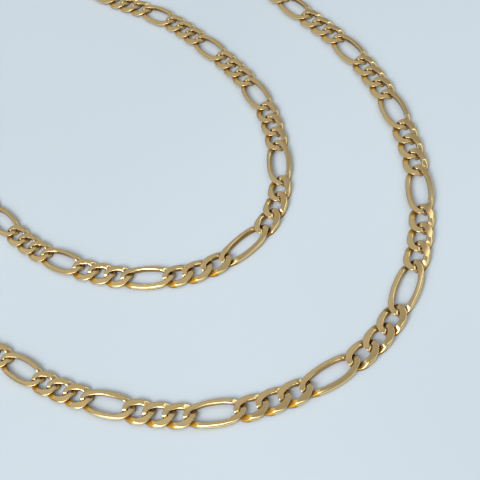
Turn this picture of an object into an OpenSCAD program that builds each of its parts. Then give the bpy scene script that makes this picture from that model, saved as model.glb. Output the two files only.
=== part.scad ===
// Figaro chain necklace, lying fastened on a flat surface in two curved strands.
// Three short curb links and one long link repeat along it. All sizes are in millimetres.
// The frame has +Z up, the fold ends towards +Y, and its origin under the middle of the layout.

/* [Chain] */

// Number of repeats, each of three short links and one long link
repeats = 26; // [22:2:30]
// Thickness of the chain over its two ground faces
chain_t = 1.04; // [0.9:0.02:1.2]
// Play between the ends of two linked links
end_play = 0.2; // [0.16:0.02:0.3]

/* [Links] */

// Outside length of a short link
short_len = 5; // [4.6:0.1:5.6]
// Outside width of a short link
short_w = 3.8; // [3.6:0.05:4.3]
// Outside length of a long link
long_len = 9.2; // [8:0.1:10.8]
// Outside width of a long link
long_w = 4.1; // [3.7:0.05:4.5]
// Width of the wire along the sides of a short link
short_wire = 1; // [0.9:0.02:1.06]
// Width of the wire along the sides of a long link
long_wire = 0.84; // [0.8:0.02:1]
// Width of the wire at the tips of a link
tip_w = 0.8; // [0.7:0.02:0.84]

/* [Clasp] */

// Outside length of the clasp with its two loops
clasp_len = 13.4; // [12.4:0.5:16.4]
// Outside width of the clasp's body
clasp_w = 5; // [4.4:0.2:6]
// Thickness of the clasp's body
clasp_t = 1.9; // [1.4:0.1:2.6]

/* [Hidden] */

// Height that the wire would have if its faces were not ground flat
wire_h = chain_t * 1.14;
// How far a strand lies above or below the middle where two links cross
lift = wire_h / 2 + 0.07;
// Length over which two linked links overlap
lap = 2 * tip_w + end_play;
// Distance from joint to joint along each kind of piece
short_pitch = short_len - lap;
long_pitch = long_len - lap;
clasp_pitch = clasp_len - lap;
repeat_len = 3 * short_pitch + long_pitch;
// Whole number of repeats, even so that each strand has half of them
whole = 2 * round(repeats / 2);
// Whole length of the closed necklace
necklace_len = whole * repeat_len + clasp_pitch;

// Guide points of the route, seen from above, run counter-clockwise from the left end of the outer strand
ROUTE = [
    [-41.5, 44], [-38.5, 30], [-31.5, 12.5], [-14.5, 0], [-3, -0.5], [13, 5],
    [28, 20], [37.5, 37.5], [41, 52.5], [47, 66], [57.5, 97.5], [44.5, 110],
    [29, 103.5], [30, 79], [29, 70.5], [23, 47.5], [15.5, 36], [0.5, 22.5],
    [-16.5, 30.5], [-23.5, 49.5], [-24.5, 65.5], [-18.5, 87.5], [-27.5, 100.5], [-41.5, 99],
    [-49, 83.5], [-40.5, 54]
];
// Distance of the first joint after the clasp, from the start of the route
first_joint = -15.4;
// Steps in which each stretch between two guide points is measured
steps = 24;

// One quarter of a link from its tip to its side, the other three follow by symmetry. Columns:
// distance of the wire past the joint, share of the half width, share of the lift,
// share of the way from the wire's width at the tip to its width at the side.
TIP = [(lap - tip_w) / 2, 0.24, 0.95, 0.15];
SHOULDER = [-0.5, 0.82, 1, 0.6];
SIDE_START = [-2, 1, 0, 1];

gold = [0.83, 0.66, 0.36];

// A point of the smooth closed curve that the guide points steer
function weights(t) = [
    pow(1 - t, 3) / 6,
    (3 * pow(t, 3) - 6 * pow(t, 2) + 4) / 6,
    (-3 * pow(t, 3) + 3 * pow(t, 2) + 3 * t + 1) / 6,
    pow(t, 3) / 6
];
function curve_point(k, t) =
    let (n = len(ROUTE), w = weights(t))
    w[0] * ROUTE[(k + n - 1) % n] + w[1] * ROUTE[k % n]
    + w[2] * ROUTE[(k + 1) % n] + w[3] * ROUTE[(k + 2) % n];

raw = [for (k = [0 : len(ROUTE) - 1], j = [0 : steps - 1]) curve_point(k, j / steps)];
count = len(raw);
function raw_run(i) = norm(raw[(i + 1) % count] - raw[i % count]);
raw_s = [for (i = 0, s = 0; i <= count; s = s + raw_run(i), i = i + 1) s];
raw_len = raw_s[count];

// The layout is centred, and scaled so that a whole number of repeats and the clasp close it
xs = [for (p = raw) p[0]];
ys = [for (p = raw) p[1]];
middle = [min(xs) + max(xs), min(ys) + max(ys)] / 2;
grow = necklace_len / raw_len;
table_x = [for (i = [0 : count]) [raw_s[i], raw[i % count][0]]];
table_y = [for (i = [0 : count]) [raw_s[i], raw[i % count][1]]];
function wrap(s) = s - raw_len * floor(s / raw_len);
function route_point(s) =
    let (q = wrap(s / grow + first_joint))
    grow * ([lookup(q, table_x), lookup(q, table_y)] - middle);

// Distance along the necklace of the joint before link i, where every fourth link is a long one
function joint_at(i) = floor(i / 4) * repeat_len + (i % 4) * short_pitch;

// Rows of x, y, height and half wire width, once round a link that lies along x
function quarter(pitch, w, wire, rows) = [
    for (r = rows) [
        r[0] == undef ? 0 : pitch / 2 + r[0],
        r[1] * (w - wire) / 2,
        r[2] * lift,
        (tip_w + (wire - tip_w) * r[3]) / 2
    ]
];
function reversed(v) = [for (i = [len(v) - 1 : -1 : 0]) v[i]];
function turned(q, a, b) = [for (r = q) [a * r[0], b * r[1], -a * b * r[2], r[3]]];
function all_but_first(v) = [for (i = [1 : len(v) - 1]) v[i]];
function around(q) =
    let (back = q[len(q) - 1][0] == 0 ? all_but_first(reversed(q)) : reversed(q))
    concat(turned(q, 1, 1), turned(back, -1, 1), turned(q, -1, -1), turned(back, 1, -1));

// Six corners of the wire at one row: a rounded bar with its top and bottom ground flat
function half_at(z, c, w) = w * pow(max(0, 1 - pow(abs(z - c) / (wire_h / 2), 3)), 1 / 3);
function corners(c, w) =
    let (top = min(chain_t / 2, c + wire_h * 0.45), low = max(-chain_t / 2, c - wire_h * 0.45))
    [
        [half_at(top, c, w), top], [w, (top + low) / 2], [half_at(low, c, w), low],
        [-half_at(low, c, w), low], [-w, (top + low) / 2], [-half_at(top, c, w), top]
    ];

function flat_dir(v) = [v[0], v[1]] / norm([v[0], v[1]]);

// A closed link from its rows, resting on the ground with its middle over the origin
module link(rows) {
    n = len(rows);
    points = [
        for (i = [0 : n - 1])
        let (
            before = flat_dir(rows[i] - rows[(i + n - 1) % n]),
            after = flat_dir(rows[(i + 1) % n] - rows[i]),
            along = flat_dir(before + after),
            out = [along[1], -along[0]] / max(0.5, along * before)
        )
        for (c = corners(rows[i][2], rows[i][3]))
        [rows[i][0] + out[0] * c[0], rows[i][1] + out[1] * c[0], chain_t / 2 + c[1]]
    ];
    faces = [
        for (i = [0 : n - 1], k = [0 : 5])
        let (
            a = i * 6 + k,
            b = i * 6 + (k + 1) % 6,
            c = (i + 1) % n * 6 + (k + 1) % 6,
            d = (i + 1) % n * 6 + k
        )
        for (f = [[a, c, b], [a, d, c]]) f
    ];
    polyhedron(points, faces);
}

module short_link() {
    link(around(quarter(short_pitch, short_w, short_wire, [TIP, SHOULDER, [undef, 1, 0, 1]])));
}

module long_link() {
    link(around(quarter(long_pitch, long_w, long_wire, [TIP, SHOULDER, SIDE_START])));
}

// Puts a piece between two distances along the necklace
module between(s1, s2) {
    p = route_point(s1);
    q = route_point(s2);
    middle_point = (p + q) / 2;
    translate([middle_point[0], middle_point[1], 0])
        rotate([0, 0, atan2(q[1] - p[1], q[0] - p[0])])
        children();
}

// A run of whole repeats
module strand(first_repeat, last_repeat) {
    for (i = [4 * first_repeat : 4 * last_repeat - 1]) {
        between(joint_at(i), joint_at(i + 1)) {
            if (i % 4 == 3) {
                long_link();
            } else {
                short_link();
            }
        }
    }
}

module chain_outer() {
    color(gold) strand(0, whole / 2);
}

module chain_inner() {
    color(gold) strand(whole / 2, whole);
}

// One plain closed piece: a tapered body with a loop at each end, formed as the links' ends are
module clasp() {
    body_x = clasp_pitch / 2 - 1.9;
    color(gold)
    between(whole * repeat_len, necklace_len) {
        link(around(quarter(clasp_pitch, short_w, short_wire, [TIP, SHOULDER, SIDE_START])));
        hull() {
            translate([-body_x + 1.5, 0, 0.2])
                cylinder(h = clasp_t - 0.4, r = 1.5, $fn = 24);
            translate([-body_x + 1.5, 0, 0])
                cylinder(h = clasp_t, r = 1.3, $fn = 24);
            translate([body_x - clasp_w / 2, 0, 0.2])
                cylinder(h = clasp_t - 0.4, r = clasp_w / 2, $fn = 24);
            translate([body_x - clasp_w / 2, 0, 0])
                cylinder(h = clasp_t, r = clasp_w / 2 - 0.2, $fn = 24);
        }
    }
}

chain_outer();
chain_inner();
clasp();
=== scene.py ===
"""Look of the figaro chain: a flat-ground gold chain, fastened and laid on a pale floor."""
import math

import bpy
import numpy as np
from bpy.props import FloatProperty, FloatVectorProperty, IntProperty, PointerProperty
from mathutils import Matrix, Vector


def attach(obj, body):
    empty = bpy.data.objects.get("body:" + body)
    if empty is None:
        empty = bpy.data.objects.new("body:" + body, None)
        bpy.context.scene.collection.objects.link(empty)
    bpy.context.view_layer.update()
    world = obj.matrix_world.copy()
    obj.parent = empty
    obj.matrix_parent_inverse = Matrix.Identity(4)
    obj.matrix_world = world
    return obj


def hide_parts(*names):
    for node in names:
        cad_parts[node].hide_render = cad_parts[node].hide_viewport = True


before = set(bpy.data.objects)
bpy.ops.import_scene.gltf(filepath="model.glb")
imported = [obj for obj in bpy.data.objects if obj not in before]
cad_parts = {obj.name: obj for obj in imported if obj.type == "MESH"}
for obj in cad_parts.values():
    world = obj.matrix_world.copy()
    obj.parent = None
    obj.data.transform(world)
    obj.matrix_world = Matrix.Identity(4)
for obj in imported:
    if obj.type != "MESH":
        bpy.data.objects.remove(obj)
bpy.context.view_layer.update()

bl_info = {
    "name": "Figaro Chain",
    "version": (1, 0, 0),
    "blender": (4, 5, 0),
    "location": "3D View > Sidebar > Figaro",
    "description": "Builds the links, the clasp and the stage of a lying figaro chain",
    "category": "Object",
}

MM = 0.001

# Guide points of the route, seen from above, in metres. They run counter-clockwise, so that the inside
# of the closed necklace lies to the left
ROUTE = np.array([
    (-0.0415, 0.0440), (-0.0385, 0.0300), (-0.0315, 0.0125), (-0.0145, 0.0000), (-0.0030, -0.0005),
    (0.0130, 0.0050), (0.0280, 0.0200), (0.0375, 0.0375), (0.0410, 0.0525), (0.0470, 0.0660),
    (0.0575, 0.0975), (0.0445, 0.1100), (0.0290, 0.1035), (0.0300, 0.0790), (0.0290, 0.0705),
    (0.0230, 0.0475), (0.0155, 0.0360), (0.0005, 0.0225), (-0.0165, 0.0305), (-0.0235, 0.0495),
    (-0.0245, 0.0655), (-0.0185, 0.0875), (-0.0275, 0.1005), (-0.0415, 0.0990), (-0.0490, 0.0835),
    (-0.0405, 0.0540),
])
# Distance of the first joint after the clasp, from the start of the route
FIRST_JOINT = -0.0154
# Steps in which each stretch between two guide points is measured
ROUTE_STEPS = 24

# Half the height of the wire before it is ground, as a share of the chain's thickness
RISE_SHARE = 0.57
# Half the space between two wires where they cross
CROSSING_ROOM = 0.07 * MM
# How far before the joint the wire reaches its full drop or rise, and the length over which it does so
DROP_END_BACK = 0.2 * MM
DROP_RUN = 1.4 * MM
# How much of the drop's curve is eased at its end
DROP_EASE = 0.6
# Extra rows round the wire, by their distance past the start of the drop
EXTRA_ROWS = (0.05 * MM, 0.6 * MM, 0.68 * MM)
# How square a link's outline is at the corners that dip under, and at those that lie over
UNDER_CORNER = 2.3
OVER_CORNER = 2.1
# At a tip the wire slopes from one level to the other: how far off the link's middle line the slope's
# middle lies, and half the slope's width
SLOPE_SHIFT = 0.2 * MM
SLOPE_HALF = 0.52 * MM
# Angle to both sides over which the wire's direction is measured
TURN_STEP = 1e-3

# Height of the wire's crown where it isn't ground, as a share of its rise
CROWN_SHARE = 0.89
# How square the wire's outer and inner walls are along a link's sides, and how much more at its tips
OUTER_WALL = 2.5
OUTER_AT_TIP = 0.5
INNER_WALL = 2.1
INNER_AT_TIP = 1.4
# How much squarer the wire is where it has sunk, and the share of the full drop where it is fully so
SUNK_SQUARE = 3
SUNK_SHARE = 0.7
# Where the tips begin, and over what length, as shares of the distance between two joints
TIP_FROM = 0.22
TIP_FADE = 0.2
# Rows at the rim of a flat: how many edge widths inside it, and at most this share of its half width
RIM_ROWS = ((2.2, 0.5), (1.0, 0.25))
# Rows down a wall, as shares of its height
WALL_ROWS = (0.05, 0.16, 0.32, 0.5, 0.68, 0.84, 0.95)

# The painted reflection (gold mirrored in the next link's gold, amber on the link ends that dip under)
# starts this far before the end of the drop, and this far off the link's middle line
PAINTED_REFLECTION_BEFORE = 1.15 * MM
PAINTED_REFLECTION_BEFORE_FADE = 0.3 * MM
PAINTED_REFLECTION_OFF_MIDDLE = 0.75 * MM
PAINTED_REFLECTION_OFF_MIDDLE_FADE = 0.35 * MM
# The painted reflection shows on the side that faces the left of the layout, from this much of that
# direction on
PAINTED_REFLECTION_LEFT = 0.2
PAINTED_REFLECTION_LEFT_FADE = 0.25
# Painted shade low on the walls: its upper end on the inner and outer walls, as shares of the chain's
# thickness
PAINTED_SHADE_INSIDE = 0.74
PAINTED_SHADE_OUTSIDE = 0.4
PAINTED_SHADE_FADE = 0.12
# Painted shade at the joints: where it starts, as a share of the distance between joints, and how strong it
# is
JOINT_PAINTED_SHADE_FROM = 0.42
JOINT_PAINTED_SHADE_FADE = 0.3 * MM
JOINT_PAINTED_SHADE = 0.4

# Clouds and fine streaks on the gold, as noise scales, and how much they roughen it
CLOUD_SCALE = 900.0
STREAK_SCALE = 5200.0
CLOUD_ROUGHNESS = 0.05
STREAK_ROUGHNESS = 0.08
# How far the worn colour covers a cloud and the darkest link, and painted shade the foot of a wall
CLOUD_WEAR = 0.22
LINK_WEAR = 0.12
PAINTED_SHADE_COVER = 0.95
# The painted reflection is rougher and less metallic by this much, so that it shows as an even amber
PAINTED_REFLECTION_ROUGHER = 0.3
PAINTED_REFLECTION_LESS_METAL = 0.6
# Tone of the clasp, where 0 is the darkest link and 1 the lightest
CLASP_TONE = 0.5

# Rows round a short link, a long link and the clasp's loops
SHORT_ROWS = 64
LONG_ROWS = 76
CLASP_ROWS = 88
# Each link leans by chance, in degrees: the usual lean and the most, sideways and endwise
SEED = 7
LEAN_SIDEWAYS = 0.8
MOST_SIDEWAYS = 2.5
LEAN_ENDWISE = 0.5
MOST_ENDWISE = 1.2

# The clasp's body: radius of its narrow end, rounding of its edges, and its distance from the joints
CLASP_NARROW_R = 1.5 * MM
CLASP_SOFT = 0.55 * MM
CLASP_BACK = 1.9 * MM
# Points round its wide and narrow ends, rows over an edge, and the sizes of the loops that close a flat
CLASP_WIDE_POINTS = 40
CLASP_NARROW_POINTS = 26
CLASP_EDGE_ROWS = 7
CLASP_CAP_LOOPS = (0.6, 0.2)

# The camera as solved from the photograph: its place, heading, tilt and roll, and its focal length in
# pixels of a picture that is 480 pixels wide
CAMERA_AT = Vector((-0.046224, -0.092309, 0.101643))
CAMERA_TURN = math.radians(60.999)
CAMERA_DOWN = math.radians(52.91)
CAMERA_ROLL = math.radians(28.454)
CAMERA_PIXELS = 809.991
PHOTO_WIDTH = 480

# The large soft light: turn to the left from the camera's line of sight, height above the floor, both
# in degrees, then distance and size
KEY_TURN = 115
KEY_UP = 46
KEY_AWAY = 0.9
KEY_SIZE = (0.39, 0.48)
KEY_COLOUR = (1.0, 0.98, 0.95)
# Half the length of the floor's sides, in metres
FLOOR_HALF = 1.5
# Clouds and grain of the floor: noise scales, and how much paler the clouds are
FLOOR_CLOUD_SCALE = 9.0
FLOOR_GRAIN_SCALE = 2600.0
FLOOR_PALER = 1.07
FLOOR_ROUGHNESS = 0.42

# Light from all round: its colour, the plain wall's light, its share just over the floor, and the
# sines of the heights above the floor between which the wall brightens
ROOM_COLOUR = (0.93, 0.97, 1.0, 1.0)
WALL_LIGHT = 0.41
WALL_LOW = 0.16
WALL_LOW_END = 0.05
WALL_FULL = 0.45
# Round patches of light on the wall, and windows. Columns: turn to the left from the camera's line of
# sight, height above the floor, radius of the full light, radius where it ends, all in degrees, strength
WALL_PATCHES = (
    (-2, 41, 12, 22, 0.15),
    (0, 66, 14, 24, 0.06),
    (47, 50, 15, 25, 0.18),
    (42, 32, 10, 18, 0.16),
    (50, 62, 10, 18, 0.08),
)
WINDOWS = (
    (114, 40, 16, 24, 0.78),
    (-61, 54, 7, 10, 1.43),
    (143, 50, 16, 24, 1.82),
    (-132, 48, 12, 22, 1.04),
    (112, 20, 9, 17, 1.56),
    (-90, 42, 12, 20, 1.04),
)


# Settings

def length_setting(name, description, millimetres):
    return FloatProperty(name=name, description=description, default=millimetres * MM,
                         unit="LENGTH", precision=5)


def colour_setting(name, description, default):
    return FloatVectorProperty(name=name, description=description, default=default,
                               subtype="COLOR", size=3, min=0, max=1)


def share_setting(name, description, default):
    return FloatProperty(name=name, description=description, default=default,
                         subtype="FACTOR", min=0, max=1)


class LinkSizes(bpy.types.PropertyGroup):
    repeats: IntProperty(name="Repeats", description="Runs of three short links and one long link",
                         default=26, min=4)
    thickness: length_setting("Thickness", "Height over the two ground faces", 1.04)
    end_play: length_setting("End play", "Play between the ends of linked links", 0.2)
    short_len: length_setting("Short link length", "Outside length of a short link", 5.0)
    short_w: length_setting("Short link width", "Outside width of a short link", 3.8)
    long_len: length_setting("Long link length", "Outside length of a long link", 9.2)
    long_w: length_setting("Long link width", "Outside width of a long link", 4.1)
    short_wire: length_setting("Short link wire", "Width of the wire along a short link's sides", 1.0)
    long_wire: length_setting("Long link wire", "Width of the wire along a long link's sides", 0.84)
    tip_w: length_setting("Tip width", "Width of the wire at a link's tips", 0.8)
    grind_lean: length_setting("Grinding lean", "How much deeper the top is ground on the side that "
                               "faces into the necklace", 0.1)
    dome: FloatProperty(name="Dome", description="Share by which a link is thinner at its sides than in "
                        "the middle", default=0.11, min=0, max=0.2)
    edge: length_setting("Polished edge", "Width of the soft rim of a ground face", 0.07)


class ClaspSizes(bpy.types.PropertyGroup):
    length: length_setting("Length", "Outside length with both loops", 13.4)
    width: length_setting("Width", "Outside width of the body's wide end", 5.0)
    height: length_setting("Height", "Thickness of the body", 1.9)


class GoldFinish(bpy.types.PropertyGroup):
    polished: colour_setting("Polished gold", "Colour of the polished sides", (0.93, 0.7, 0.325))
    ground: colour_setting("Ground gold", "Colour of the flat ground faces", (0.811, 0.586, 0.273))
    # The painted reflection colour stands for gold mirrored in gold where a link end dips under the next one
    painted_reflection: colour_setting("Painted reflection", "Colour of the link ends that dip under the next link, on the side "
                         "that faces the left of the layout", (0.6, 0.31, 0.01))
    # The painted shade colour darkens the foot of the walls and the joints, where shade falls
    painted_shade: colour_setting("Painted shade", "Colour low on the sides and at the joints, where shade is painted",
                          (0.27, 0.105, 0.008))
    worn: colour_setting("Worn gold", "Colour that clouds and darker links lean towards", (0.62, 0.42, 0.17))
    side_roughness: share_setting("Side roughness", "Roughness of the polished sides", 0.06)
    face_roughness: share_setting("Face roughness", "Roughness of the ground faces", 0.14)


class StageLook(bpy.types.PropertyGroup):
    floor: colour_setting("Floor", "Colour of the floor", (0.547, 0.613, 0.664))
    key: FloatProperty(name="Key light", description="Power of the large soft light in watts",
                       default=4.05, min=0)
    fill: FloatProperty(name="Room light", description="Strength of the light from all round",
                        default=1.0, min=0)


# Shader maths

class Val:
    """A socket or number in a node tree, with the usual operators."""

    def __init__(self, tree, socket):
        self.tree = tree
        self.socket = socket

    def math(self, operation, *others, clamp=False):
        node = self.tree.nodes.new("ShaderNodeMath")
        node.operation = operation
        node.use_clamp = clamp
        for slot, value in zip(node.inputs, (self,) + others):
            put(self.tree, slot, value)
        return Val(self.tree, node.outputs[0])

    def __add__(self, other):
        return self.math("ADD", other)

    def __sub__(self, other):
        return self.math("SUBTRACT", other)

    def __rsub__(self, other):
        return Val(self.tree, other).math("SUBTRACT", self)

    def __mul__(self, other):
        return self.math("MULTIPLY", other)

    def __truediv__(self, other):
        return self.math("DIVIDE", other)

    __radd__ = __add__
    __rmul__ = __mul__

    def clamp(self):
        return self.math("ADD", 0.0, clamp=True)

    def ramp(self, low, high):
        """0 up to low, 1 from high on, smooth between them."""
        t = ((self - low) / (high - low)).clamp()
        return t * t * (3.0 - 2.0 * t)


def put(tree, slot, value):
    """Links one input to a socket, or sets it to a value."""
    if isinstance(value, Val):
        value = value.socket
    if isinstance(value, bpy.types.NodeSocket):
        tree.links.new(value, slot)
    else:
        slot.default_value = value


def rgba(colour):
    """A colour with full opacity. A socket stays as it is."""
    if isinstance(colour, Val):
        return colour
    return (colour[0], colour[1], colour[2], 1.0)


class Shader:
    """A material's or the world's node tree, filled by expressions."""

    def __init__(self, owner):
        owner.use_nodes = True
        self.tree = owner.node_tree
        self.tree.nodes.clear()

    def node(self, kind, settings=None, **sockets):
        """A node of any kind. Its settings are set first, then the values or links of its sockets."""
        node = self.tree.nodes.new("ShaderNode" + kind)
        for name, value in (settings or {}).items():
            setattr(node, name, value)
        for name, value in sockets.items():
            put(self.tree, node.inputs[name.replace("_", " ")], value)
        return node

    def val(self, node, name=0):
        return Val(self.tree, node.outputs[name])

    def attribute(self, name):
        """A mark that the mesh carries at each of its points."""
        return self.val(self.node("Attribute", {"attribute_name": name}), "Fac")

    def mix(self, factor, first, second):
        """The first colour where the factor is 0, and the second where it is 1."""
        node = self.node("Mix", {"data_type": "RGBA", "clamp_factor": True})
        for place, value in ((0, factor), (6, rgba(first)), (7, rgba(second))):
            put(self.tree, node.inputs[place], value)
        return self.val(node, 2)

    def noise(self, vector, scale, detail):
        node = self.node("TexNoise", Scale=scale, Detail=detail, Roughness=0.5, Vector=vector)
        return self.val(node, "Fac")


# Materials

GOLD = "polished_and_ground_gold"


def gold_material(finish):
    """Polished sides, ground faces, a painted reflection of gold in gold under the joints and painted shade
    low on the walls and at the joints.
    """
    material = bpy.data.materials.new(GOLD)
    s = Shader(material)
    place = s.val(s.node("TexCoord"), "Object")
    face = s.attribute("ground_face")
    dip = s.attribute("dip")
    cloud = s.noise(place, CLOUD_SCALE, 3.0)
    streak = s.noise(place, STREAK_SCALE, 2.0)

    colour = s.mix(face, finish.polished[:], finish.ground[:])
    # Painted reflection at the dipping link ends, then painted shade low on the walls and at the joints
    colour = s.mix(dip, colour, finish.painted_reflection[:])
    colour = s.mix(s.attribute("low") * PAINTED_SHADE_COVER, colour, finish.painted_shade[:])
    wear = ((cloud - 0.45) * 1.6).clamp() * CLOUD_WEAR + (1.0 - s.attribute("tone")) * LINK_WEAR
    colour = s.mix(wear, colour, finish.worn[:])
    rough = (finish.side_roughness + face * (finish.face_roughness - finish.side_roughness)
             + dip * PAINTED_REFLECTION_ROUGHER + (streak - 0.5) * STREAK_ROUGHNESS + (cloud - 0.5) * CLOUD_ROUGHNESS)
    bump = s.node("Bump", Strength=0.05, Distance=0.02 * MM, Height=streak * 0.6 + cloud * 0.4)
    shader = s.node("BsdfPrincipled", Base_Color=colour, Metallic=1.0 - dip * PAINTED_REFLECTION_LESS_METAL,
                    Roughness=rough.clamp(), Normal=s.val(bump))
    s.node("OutputMaterial", Surface=s.val(shader))
    return material


def gold(scene):
    """The gold of all pieces, made once."""
    return bpy.data.materials.get(GOLD) or gold_material(scene.figaro_gold)


def floor_material(look):
    """A pale matt floor with soft clouds and a fine grain."""
    material = bpy.data.materials.new("pale_floor")
    s = Shader(material)
    place = s.val(s.node("TexCoord"), "Object")
    cloud = s.noise(place, FLOOR_CLOUD_SCALE, 2.0)
    grain = s.noise(place, FLOOR_GRAIN_SCALE, 2.0)
    pale = [min(1.0, c * FLOOR_PALER) for c in look.floor]
    colour = s.mix(((cloud - 0.35) * 2.5).clamp(), look.floor[:], pale)
    bump = s.node("Bump", Strength=0.05, Distance=0.03 * MM, Height=grain)
    shader = s.node("BsdfPrincipled", Base_Color=colour, Roughness=FLOOR_ROUGHNESS, Normal=s.val(bump))
    s.node("OutputMaterial", Surface=s.val(shader))
    return material


# Route

class Route:
    """The closed curve that the joints between the links lie on."""

    def __init__(self, length):
        points = []
        for k in range(len(ROUTE)):
            near = [ROUTE[(k + j - 1) % len(ROUTE)] for j in range(4)]
            for j in range(ROUTE_STEPS):
                t = j / ROUTE_STEPS
                w = ((1 - t) ** 3 / 6, (3 * t ** 3 - 6 * t ** 2 + 4) / 6,
                     (-3 * t ** 3 + 3 * t ** 2 + 3 * t + 1) / 6, t ** 3 / 6)
                points.append(sum(a * p for a, p in zip(w, near)))
        points = np.array(points + points[:1])
        runs = np.linalg.norm(np.diff(points, axis=0), axis=1)
        self.s = np.concatenate([[0.0], np.cumsum(runs)])
        self.grow = length / self.s[-1]
        self.points = points - (points.min(0) + points.max(0)) / 2

    def at(self, s):
        """The place at a distance along the necklace from its first joint."""
        q = (s / self.grow + FIRST_JOINT) % self.s[-1]
        return self.grow * np.array([np.interp(q, self.s, self.points[:, i]) for i in (0, 1)])


# Links

def smooth(t):
    """0 up to 0, 1 from 1 on, smooth between them."""
    t = np.clip(t, 0, 1)
    return t * t * (3 - 2 * t)


def overlap(sizes):
    """Length over which two linked links overlap."""
    return 2 * sizes.tip_w + sizes.end_play


class LinkForm:
    """A link along x: a closed twisted wire, ground flat above and below."""

    def __init__(self, sizes, length, width, wire, rows):
        self.sizes = sizes
        self.wire_w = wire
        self.rise = sizes.thickness * RISE_SHARE
        self.lift = self.rise + CROSSING_ROOM
        self.pitch = length - overlap(sizes)
        self.half_len = (length - sizes.tip_w) / 2
        self.half_wid = (width - wire) / 2
        self.drop_end = self.pitch / 2 - DROP_END_BACK
        self.drop_start = max(0.0, self.drop_end - DROP_RUN)
        angles = list(np.linspace(0, 2 * math.pi, rows, endpoint=False))
        for past in EXTRA_ROWS:
            turn = math.acos(((self.drop_start + past) / self.half_len) ** (UNDER_CORNER / 2))
            angles += [turn, math.pi + turn]
        self.angles = np.array(sorted(angles))

    def wire(self, angles):
        """Middle line and half width of the wire."""
        c, s = np.cos(angles), np.sin(angles)
        power = 2 / np.where(c * s > 0, UNDER_CORNER, OVER_CORNER)
        x = self.half_len * np.sign(c) * np.abs(c) ** power
        y = self.half_wid * np.sign(s) * np.abs(s) ** power
        t = np.clip((np.abs(x) - self.drop_start) / (self.drop_end - self.drop_start), 0, 1)
        drop = t * t * (1 + DROP_EASE - DROP_EASE * t)
        side = np.clip((y - np.sign(x) * SLOPE_SHIFT) / SLOPE_HALF, -1, 1)
        # Eased at both ends of the slope
        side = 1.5 * side - 0.5 * side ** 3
        z = -self.lift * np.sign(x) * drop * side
        tip_w = self.sizes.tip_w
        half = tip_w / 2 + (self.wire_w - tip_w) / 2 * smooth(np.abs(y) / self.half_wid)
        return np.stack([x, y, z], -1), half

    def section(self, z_mid, half, side, tip):
        """Ring of (offset across, height, on a ground face), outer wall down and inner wall up."""
        limit = self.sizes.thickness / 2
        cut = limit - self.sizes.grind_lean * (1 + side) / 2
        crown = CROWN_SHARE * self.rise
        top, low = min(cut, z_mid + crown), max(-limit, z_mid - crown)
        on_top = 1.0 if z_mid + crown > cut else 0.0
        below = 1.0 if z_mid - crown < -limit else 0.0
        edge = self.sizes.edge
        square = SUNK_SQUARE * smooth(-z_mid / (SUNK_SHARE * self.lift))

        def reach(z, power):
            return half * max(0.0, 1 - (abs(z - z_mid) / self.rise) ** power) ** (1 / power)

        walls = []
        for power in (OUTER_WALL + OUTER_AT_TIP * tip + square,
                      INNER_WALL + INNER_AT_TIP * tip + square * (1 - tip)):
            at_top, at_low = reach(top, power), reach(low, power)
            rows = [(at_top - min(n * edge, at_top * most), top, on_top) for n, most in RIM_ROWS]
            for share in WALL_ROWS:
                z = top + (low - top) * share
                rows.append((reach(z, power), z, 0.0))
            rows += [(at_low - min(n * edge, at_low * most), low, below) for n, most in RIM_ROWS[::-1]]
            walls.append(np.array(rows))
        outer, inner = walls
        return np.vstack([outer, inner[::-1] * (-1, 1, 1)])

    def marks(self, x, y, ring, high):
        """Painted reflection, with the sign of the link's side that it is on, and painted shade, on one
        ring.
        """
        # Painted reflection on the link ends that dip under the next link
        painted_reflection = smooth((abs(x) - self.drop_end + PAINTED_REFLECTION_BEFORE) / PAINTED_REFLECTION_BEFORE_FADE) if x * y > 0 else 0.0
        painted_reflection = painted_reflection * smooth((abs(y) - PAINTED_REFLECTION_OFF_MIDDLE) / PAINTED_REFLECTION_OFF_MIDDLE_FADE)
        # Painted shade at the foot of each wall and at the joints
        inside = np.arange(len(ring)) >= len(ring) // 2
        ends = np.where(inside, PAINTED_SHADE_INSIDE, PAINTED_SHADE_OUTSIDE)
        foot = smooth((ends - high / self.sizes.thickness) / PAINTED_SHADE_FADE)
        joint = smooth((abs(x) - JOINT_PAINTED_SHADE_FROM * self.pitch) / JOINT_PAINTED_SHADE_FADE) * (1 - ring[:, 2])
        return np.full(len(ring), painted_reflection * np.sign(y)), np.maximum(foot, JOINT_PAINTED_SHADE * joint)

    def mesh(self):
        """Points, faces and marks of the link."""
        middle, half = self.wire(self.angles)
        before, _ = self.wire(self.angles - TURN_STEP)
        after, _ = self.wire(self.angles + TURN_STEP)
        run = (after - before)[:, :2]
        run /= np.linalg.norm(run, axis=1, keepdims=True)
        out = np.stack([run[:, 1], -run[:, 0]], -1)
        points, face, dip, low = [], [], [], []
        for i, (x, y, z) in enumerate(middle):
            tip = smooth((abs(x) / self.pitch - TIP_FROM) / TIP_FADE)
            ring = self.section(z, half[i], y / self.half_wid, tip)
            at = middle[i, :2] + out[i] * ring[:, :1]
            thinner = 1 - self.sizes.dome * (at[:, 1] / self.half_wid) ** 2
            high = (ring[:, 1] + self.sizes.thickness / 2) * thinner
            ring_dip, ring_low = self.marks(x, y, ring, high)
            points.append(np.column_stack([at, high]))
            face.append(ring[:, 2])
            dip.append(ring_dip)
            low.append(ring_low)
        n, m = len(middle), len(ring)
        i, k = np.meshgrid(np.arange(n), np.arange(m), indexing="ij")
        j, q = (i + 1) % n, (k + 1) % m
        faces = np.stack([i * m + k, i * m + q, j * m + q, j * m + k], -1).reshape(-1, 4).tolist()
        marks = {"ground_face": np.concatenate(face), "dip": np.concatenate(dip),
                 "low": np.concatenate(low)}
        return np.vstack(points), faces, marks


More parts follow.
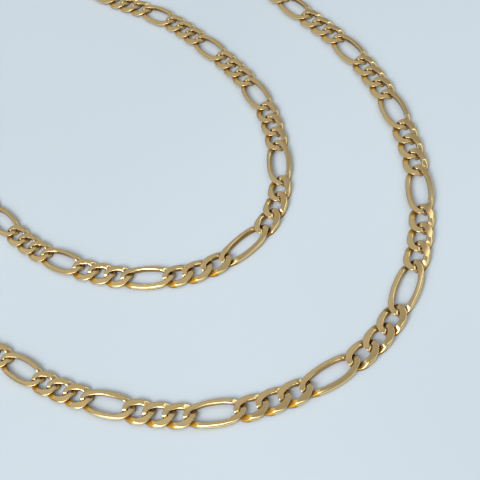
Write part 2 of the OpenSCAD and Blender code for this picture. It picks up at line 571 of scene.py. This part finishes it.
def joined_mesh(name, parts):
    """One mesh object from parts of points, faces and marks."""
    points, faces, marks, start = [], [], {}, 0
    for part_points, part_faces, part_marks in parts:
        points.append(part_points)
        faces.extend([corner + start for corner in face] for face in part_faces)
        for key, values in part_marks.items():
            marks.setdefault(key, []).append(values)
        start += len(part_points)
    mesh = bpy.data.meshes.new(name)
    mesh.from_pydata(np.vstack(points).tolist(), [], faces)
    mesh.polygons.foreach_set("use_smooth", np.ones(len(mesh.polygons), bool))
    for key, values in marks.items():
        attribute = mesh.attributes.new(key, "FLOAT", "POINT")
        attribute.data.foreach_set("value", np.concatenate(values).astype(np.float32))
    mesh.update()
    piece = bpy.data.objects.new(name, mesh)
    bpy.context.scene.collection.objects.link(piece)
    return piece


def leaned(points, sideways, endwise):
    """Points of a link that leans a little, in degrees, and still rests on the floor."""
    sideways = math.radians(min(MOST_SIDEWAYS, max(-MOST_SIDEWAYS, sideways)))
    endwise = math.radians(min(MOST_ENDWISE, max(-MOST_ENDWISE, endwise)))
    out = points.copy()
    out[:, 2] += points[:, 1] * sideways + points[:, 0] * endwise
    out[:, 2] -= out[:, 2].min()
    return out


def heading(start, end):
    """Direction from one joint to the next, of length 1."""
    return (end - start) / np.linalg.norm(end - start)


def placed(points, start, end):
    """Points of a piece that lies along x, set between two joints."""
    run = heading(start, end)
    middle = (start + end) / 2
    out = points.copy()
    out[:, 0] = middle[0] + points[:, 0] * run[0] - points[:, 1] * run[1]
    out[:, 1] = middle[1] + points[:, 0] * run[1] + points[:, 1] * run[0]
    return out


def chain_plan(scene):
    """The two link forms, the route, the distances of the joints along it, and its whole length."""
    sizes = scene.figaro_links
    short = LinkForm(sizes, sizes.short_len, sizes.short_w, sizes.short_wire, SHORT_ROWS)
    long = LinkForm(sizes, sizes.long_len, sizes.long_w, sizes.long_wire, LONG_ROWS)
    joints = [0.0]
    for _ in range(sizes.repeats):
        for form in (short, short, short, long):
            joints.append(joints[-1] + form.pitch)
    total = joints[-1] + scene.figaro_clasp.length - overlap(sizes)
    return short, long, Route(total), joints, total


class OBJECT_OT_figaro_strands(bpy.types.Operator):
    """Builds the two strands of short and long links"""
    bl_idname = "object.figaro_strands"
    bl_label = "Build the strands"

    def execute(self, context):
        scene = context.scene
        short, long, route, joints, _ = chain_plan(scene)
        short_mesh, long_mesh = short.mesh(), long.mesh()
        half = scene.figaro_links.repeats // 2
        chance = np.random.default_rng(SEED)
        for node, first, last in (("chain_outer", 0, half), ("chain_inner", half, 2 * half)):
            parts = []
            for i in range(4 * first, 4 * last):
                points, faces, marks = long_mesh if i % 4 == 3 else short_mesh
                start, end = route.at(joints[i]), route.at(joints[i + 1])
                # The painted reflection is kept only where the link's side faces the left of the layout
                left = heading(start, end)[1] * marks["dip"]
                marks = dict(marks, tone=np.full(len(points), chance.uniform(0, 1)),
                             dip=smooth((left - PAINTED_REFLECTION_LEFT) / PAINTED_REFLECTION_LEFT_FADE))
                points = leaned(points, chance.normal(0, LEAN_SIDEWAYS), chance.normal(0, LEAN_ENDWISE))
                parts.append((placed(points, start, end), faces, marks))
            piece = joined_mesh(node + "_links", parts)
            piece.data.materials.append(gold(scene))
            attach(piece, "root")
            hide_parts(node)
        return {"FINISHED"}


# Clasp

def clasp_body(half_len, wide, height):
    """A tapered body: two round ends and their common tangents, with rounded edges."""
    narrow_r, wide_r = CLASP_NARROW_R, wide / 2
    narrow_x, wide_x = -half_len + narrow_r, half_len - wide_r
    lean = math.asin((wide_r - narrow_r) / (wide_x - narrow_x))
    quarter = math.pi / 2
    outline = [(wide_x, wide_r, u)
               for u in np.linspace(-quarter - lean, quarter + lean, CLASP_WIDE_POINTS)]
    outline += [(narrow_x, narrow_r, u)
                for u in np.linspace(quarter + lean, 3 * quarter - lean, CLASP_NARROW_POINTS)]
    edge = [(CLASP_SOFT * (1 - math.sin(v)), CLASP_SOFT * (1 - math.cos(v)))
            for v in np.linspace(0, quarter, CLASP_EDGE_ROWS)]
    profile = edge + [(inset, height - z) for inset, z in edge[::-1]]
    points = [(x + (r - inset) * math.cos(u), (r - inset) * math.sin(u), z)
              for inset, z in profile for x, r, u in outline]
    n, m = len(profile), len(outline)
    faces = [[i * m + k, i * m + (k + 1) % m, (i + 1) * m + (k + 1) % m, (i + 1) * m + k]
             for i in range(n - 1) for k in range(m)]
    for base, z, flip in ((0, 0.0, True), ((n - 1) * m, height, False)):
        loops = [base]
        for share in CLASP_CAP_LOOPS:
            loops.append(len(points))
            for x, r, u in outline:
                inner_r = (r - CLASP_SOFT) * share
                points.append((x + inner_r * math.cos(u), inner_r * math.sin(u), z))
        cap = [[a + k, a + (k + 1) % m, b + (k + 1) % m, b + k]
               for a, b in zip(loops[:-1], loops[1:]) for k in range(m)]
        cap.append([loops[-1] + k for k in range(m)])
        faces += [face[::-1] if flip else face for face in cap]
    return np.array(points), faces


class OBJECT_OT_figaro_clasp(bpy.types.Operator):
    """Builds the plain closed clasp"""
    bl_idname = "object.figaro_clasp"
    bl_label = "Build the clasp"

    def execute(self, context):
        scene = context.scene
        sizes, clasp = scene.figaro_links, scene.figaro_clasp
        _, _, route, joints, total = chain_plan(scene)
        start, end = route.at(joints[-1]), route.at(total)
        form = LinkForm(sizes, clasp.length, sizes.short_w, sizes.short_wire, CLASP_ROWS)
        loops, loop_faces, marks = form.mesh()
        marks["tone"] = np.full(len(loops), CLASP_TONE)
        body, body_faces = clasp_body(form.pitch / 2 - CLASP_BACK, clasp.width, clasp.height)
        plain = np.zeros(len(body))
        body_marks = {"ground_face": plain, "dip": plain, "low": plain, "tone": plain + CLASP_TONE}
        parts = [(placed(loops, start, end), loop_faces, marks),
                 (placed(body, start, end), body_faces, body_marks)]
        piece = joined_mesh("clasp_body_and_loops", parts)
        piece.data.materials.append(gold(scene))
        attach(piece, "root")
        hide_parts("clasp")
        return {"FINISHED"}


# Stage

def add_floor(scene):
    """The plain floor that the chain lies on."""
    mesh = bpy.data.meshes.new("floor")
    w = FLOOR_HALF
    mesh.from_pydata([(-w, -w, 0), (w, -w, 0), (w, w, 0), (-w, w, 0)], [], [(0, 1, 2, 3)])
    mesh.materials.append(floor_material(scene.figaro_stage_look))
    floor = bpy.data.objects.new("floor", mesh)
    scene.collection.objects.link(floor)


def add_room(scene):
    """Light from all round: a wall that brightens with height, patches on it, and windows."""
    world = bpy.data.worlds.new("room")
    scene.world = world
    s = Shader(world)
    split = s.node("SeparateXYZ", Vector=s.val(s.node("TexCoord"), "Generated"))
    x, y, z = (s.val(split, n) for n in "XYZ")
    far = x * math.cos(CAMERA_TURN) + y * math.sin(CAMERA_TURN)
    left = y * math.cos(CAMERA_TURN) - x * math.sin(CAMERA_TURN)

    def patch(turn, up, inner, outer):
        """1 inside a round patch of the room, 0 outside it."""
        a, e = math.radians(turn), math.radians(up)
        facing = (left * (math.sin(a) * math.cos(e)) + far * (math.cos(a) * math.cos(e))
                  + z * math.sin(e))
        return facing.ramp(math.cos(math.radians(outer)), math.cos(math.radians(inner)))

    def lit(level, patches):
        """The level with the light of all patches added."""
        for turn, up, inner, outer, strength in patches:
            level = level + strength * patch(turn, up, inner, outer)
        return level

    wall = lit(WALL_LIGHT, WALL_PATCHES) * (WALL_LOW + (1 - WALL_LOW) * z.ramp(WALL_LOW_END, WALL_FULL))
    strength = (wall + lit(0.0, WINDOWS)) * scene.figaro_stage_look.fill
    background = s.node("Background", Color=ROOM_COLOUR, Strength=strength)
    s.node("OutputWorld", Surface=s.val(background))


def add_key_light(scene):
    """The large soft light, aimed at the middle of the layout."""
    data = bpy.data.lights.new("key_light", "AREA")
    data.shape = "RECTANGLE"
    data.size, data.size_y = KEY_SIZE
    data.energy = scene.figaro_stage_look.key
    data.color = KEY_COLOUR
    a = CAMERA_TURN + math.radians(KEY_TURN)
    e = math.radians(KEY_UP)
    place = KEY_AWAY * Vector((math.cos(e) * math.cos(a), math.cos(e) * math.sin(a), math.sin(e)))
    lamp = bpy.data.objects.new("key_light", data)
    lamp.location = place
    lamp.rotation_euler = (-place).to_track_quat("-Z", "Y").to_euler()
    scene.collection.objects.link(lamp)


def add_camera(scene):
    """The camera as solved from the photograph."""
    data = bpy.data.cameras.new("camera")
    data.lens = CAMERA_PIXELS / PHOTO_WIDTH * data.sensor_width
    data.clip_start, data.clip_end = 0.001, 10
    a, e, r = CAMERA_TURN, CAMERA_DOWN, CAMERA_ROLL
    ahead = Vector((math.cos(e) * math.cos(a), math.cos(e) * math.sin(a), -math.sin(e)))
    side = Vector((math.sin(a), -math.cos(a), 0))
    up = side.cross(ahead)
    right_axis = math.cos(r) * side - math.sin(r) * up
    up_axis = math.sin(r) * side + math.cos(r) * up
    turn = Matrix((right_axis, up_axis, -ahead)).transposed()
    camera = bpy.data.objects.new("camera", data)
    camera.matrix_world = Matrix.Translation(CAMERA_AT) @ turn.to_4x4()
    scene.collection.objects.link(camera)
    scene.camera = camera


class OBJECT_OT_figaro_stage(bpy.types.Operator):
    """Builds the floor, the light and the camera"""
    bl_idname = "object.figaro_stage"
    bl_label = "Build the stage"

    def execute(self, context):
        add_floor(context.scene)
        add_room(context.scene)
        add_key_light(context.scene)
        add_camera(context.scene)
        context.scene.view_settings.view_transform = "Standard"
        return {"FINISHED"}


# Panel and registration

class VIEW3D_PT_figaro(bpy.types.Panel):
    """Lists the settings and the steps of the build"""
    bl_idname = "VIEW3D_PT_figaro"
    bl_label = "Figaro chain"
    bl_space_type = "VIEW_3D"
    bl_region_type = "UI"
    bl_category = "Figaro"

    def draw(self, context):
        for group in GROUPS:
            settings = getattr(context.scene, group)
            box = self.layout.box()
            for name in settings.bl_rna.properties.keys():
                if name not in ("rna_type", "name"):
                    box.prop(settings, name)
        for operator in OPERATORS:
            self.layout.operator(operator.bl_idname)


GROUPS = {"figaro_links": LinkSizes, "figaro_clasp": ClaspSizes, "figaro_gold": GoldFinish,
          "figaro_stage_look": StageLook}
OPERATORS = (OBJECT_OT_figaro_strands, OBJECT_OT_figaro_clasp, OBJECT_OT_figaro_stage)


def register():
    for name, group in GROUPS.items():
        bpy.utils.register_class(group)
        setattr(bpy.types.Scene, name, PointerProperty(type=group))
    for operator in OPERATORS:
        bpy.utils.register_class(operator)
    bpy.utils.register_class(VIEW3D_PT_figaro)


def unregister():
    bpy.utils.unregister_class(VIEW3D_PT_figaro)
    for operator in reversed(OPERATORS):
        bpy.utils.unregister_class(operator)
    for name, group in GROUPS.items():
        delattr(bpy.types.Scene, name)
        bpy.utils.unregister_class(group)


def main():
    register()
    bpy.ops.object.figaro_strands()
    bpy.ops.object.figaro_clasp()
    bpy.ops.object.figaro_stage()
    bpy.context.view_layer.update()


if __name__ == "__main__":
    main()
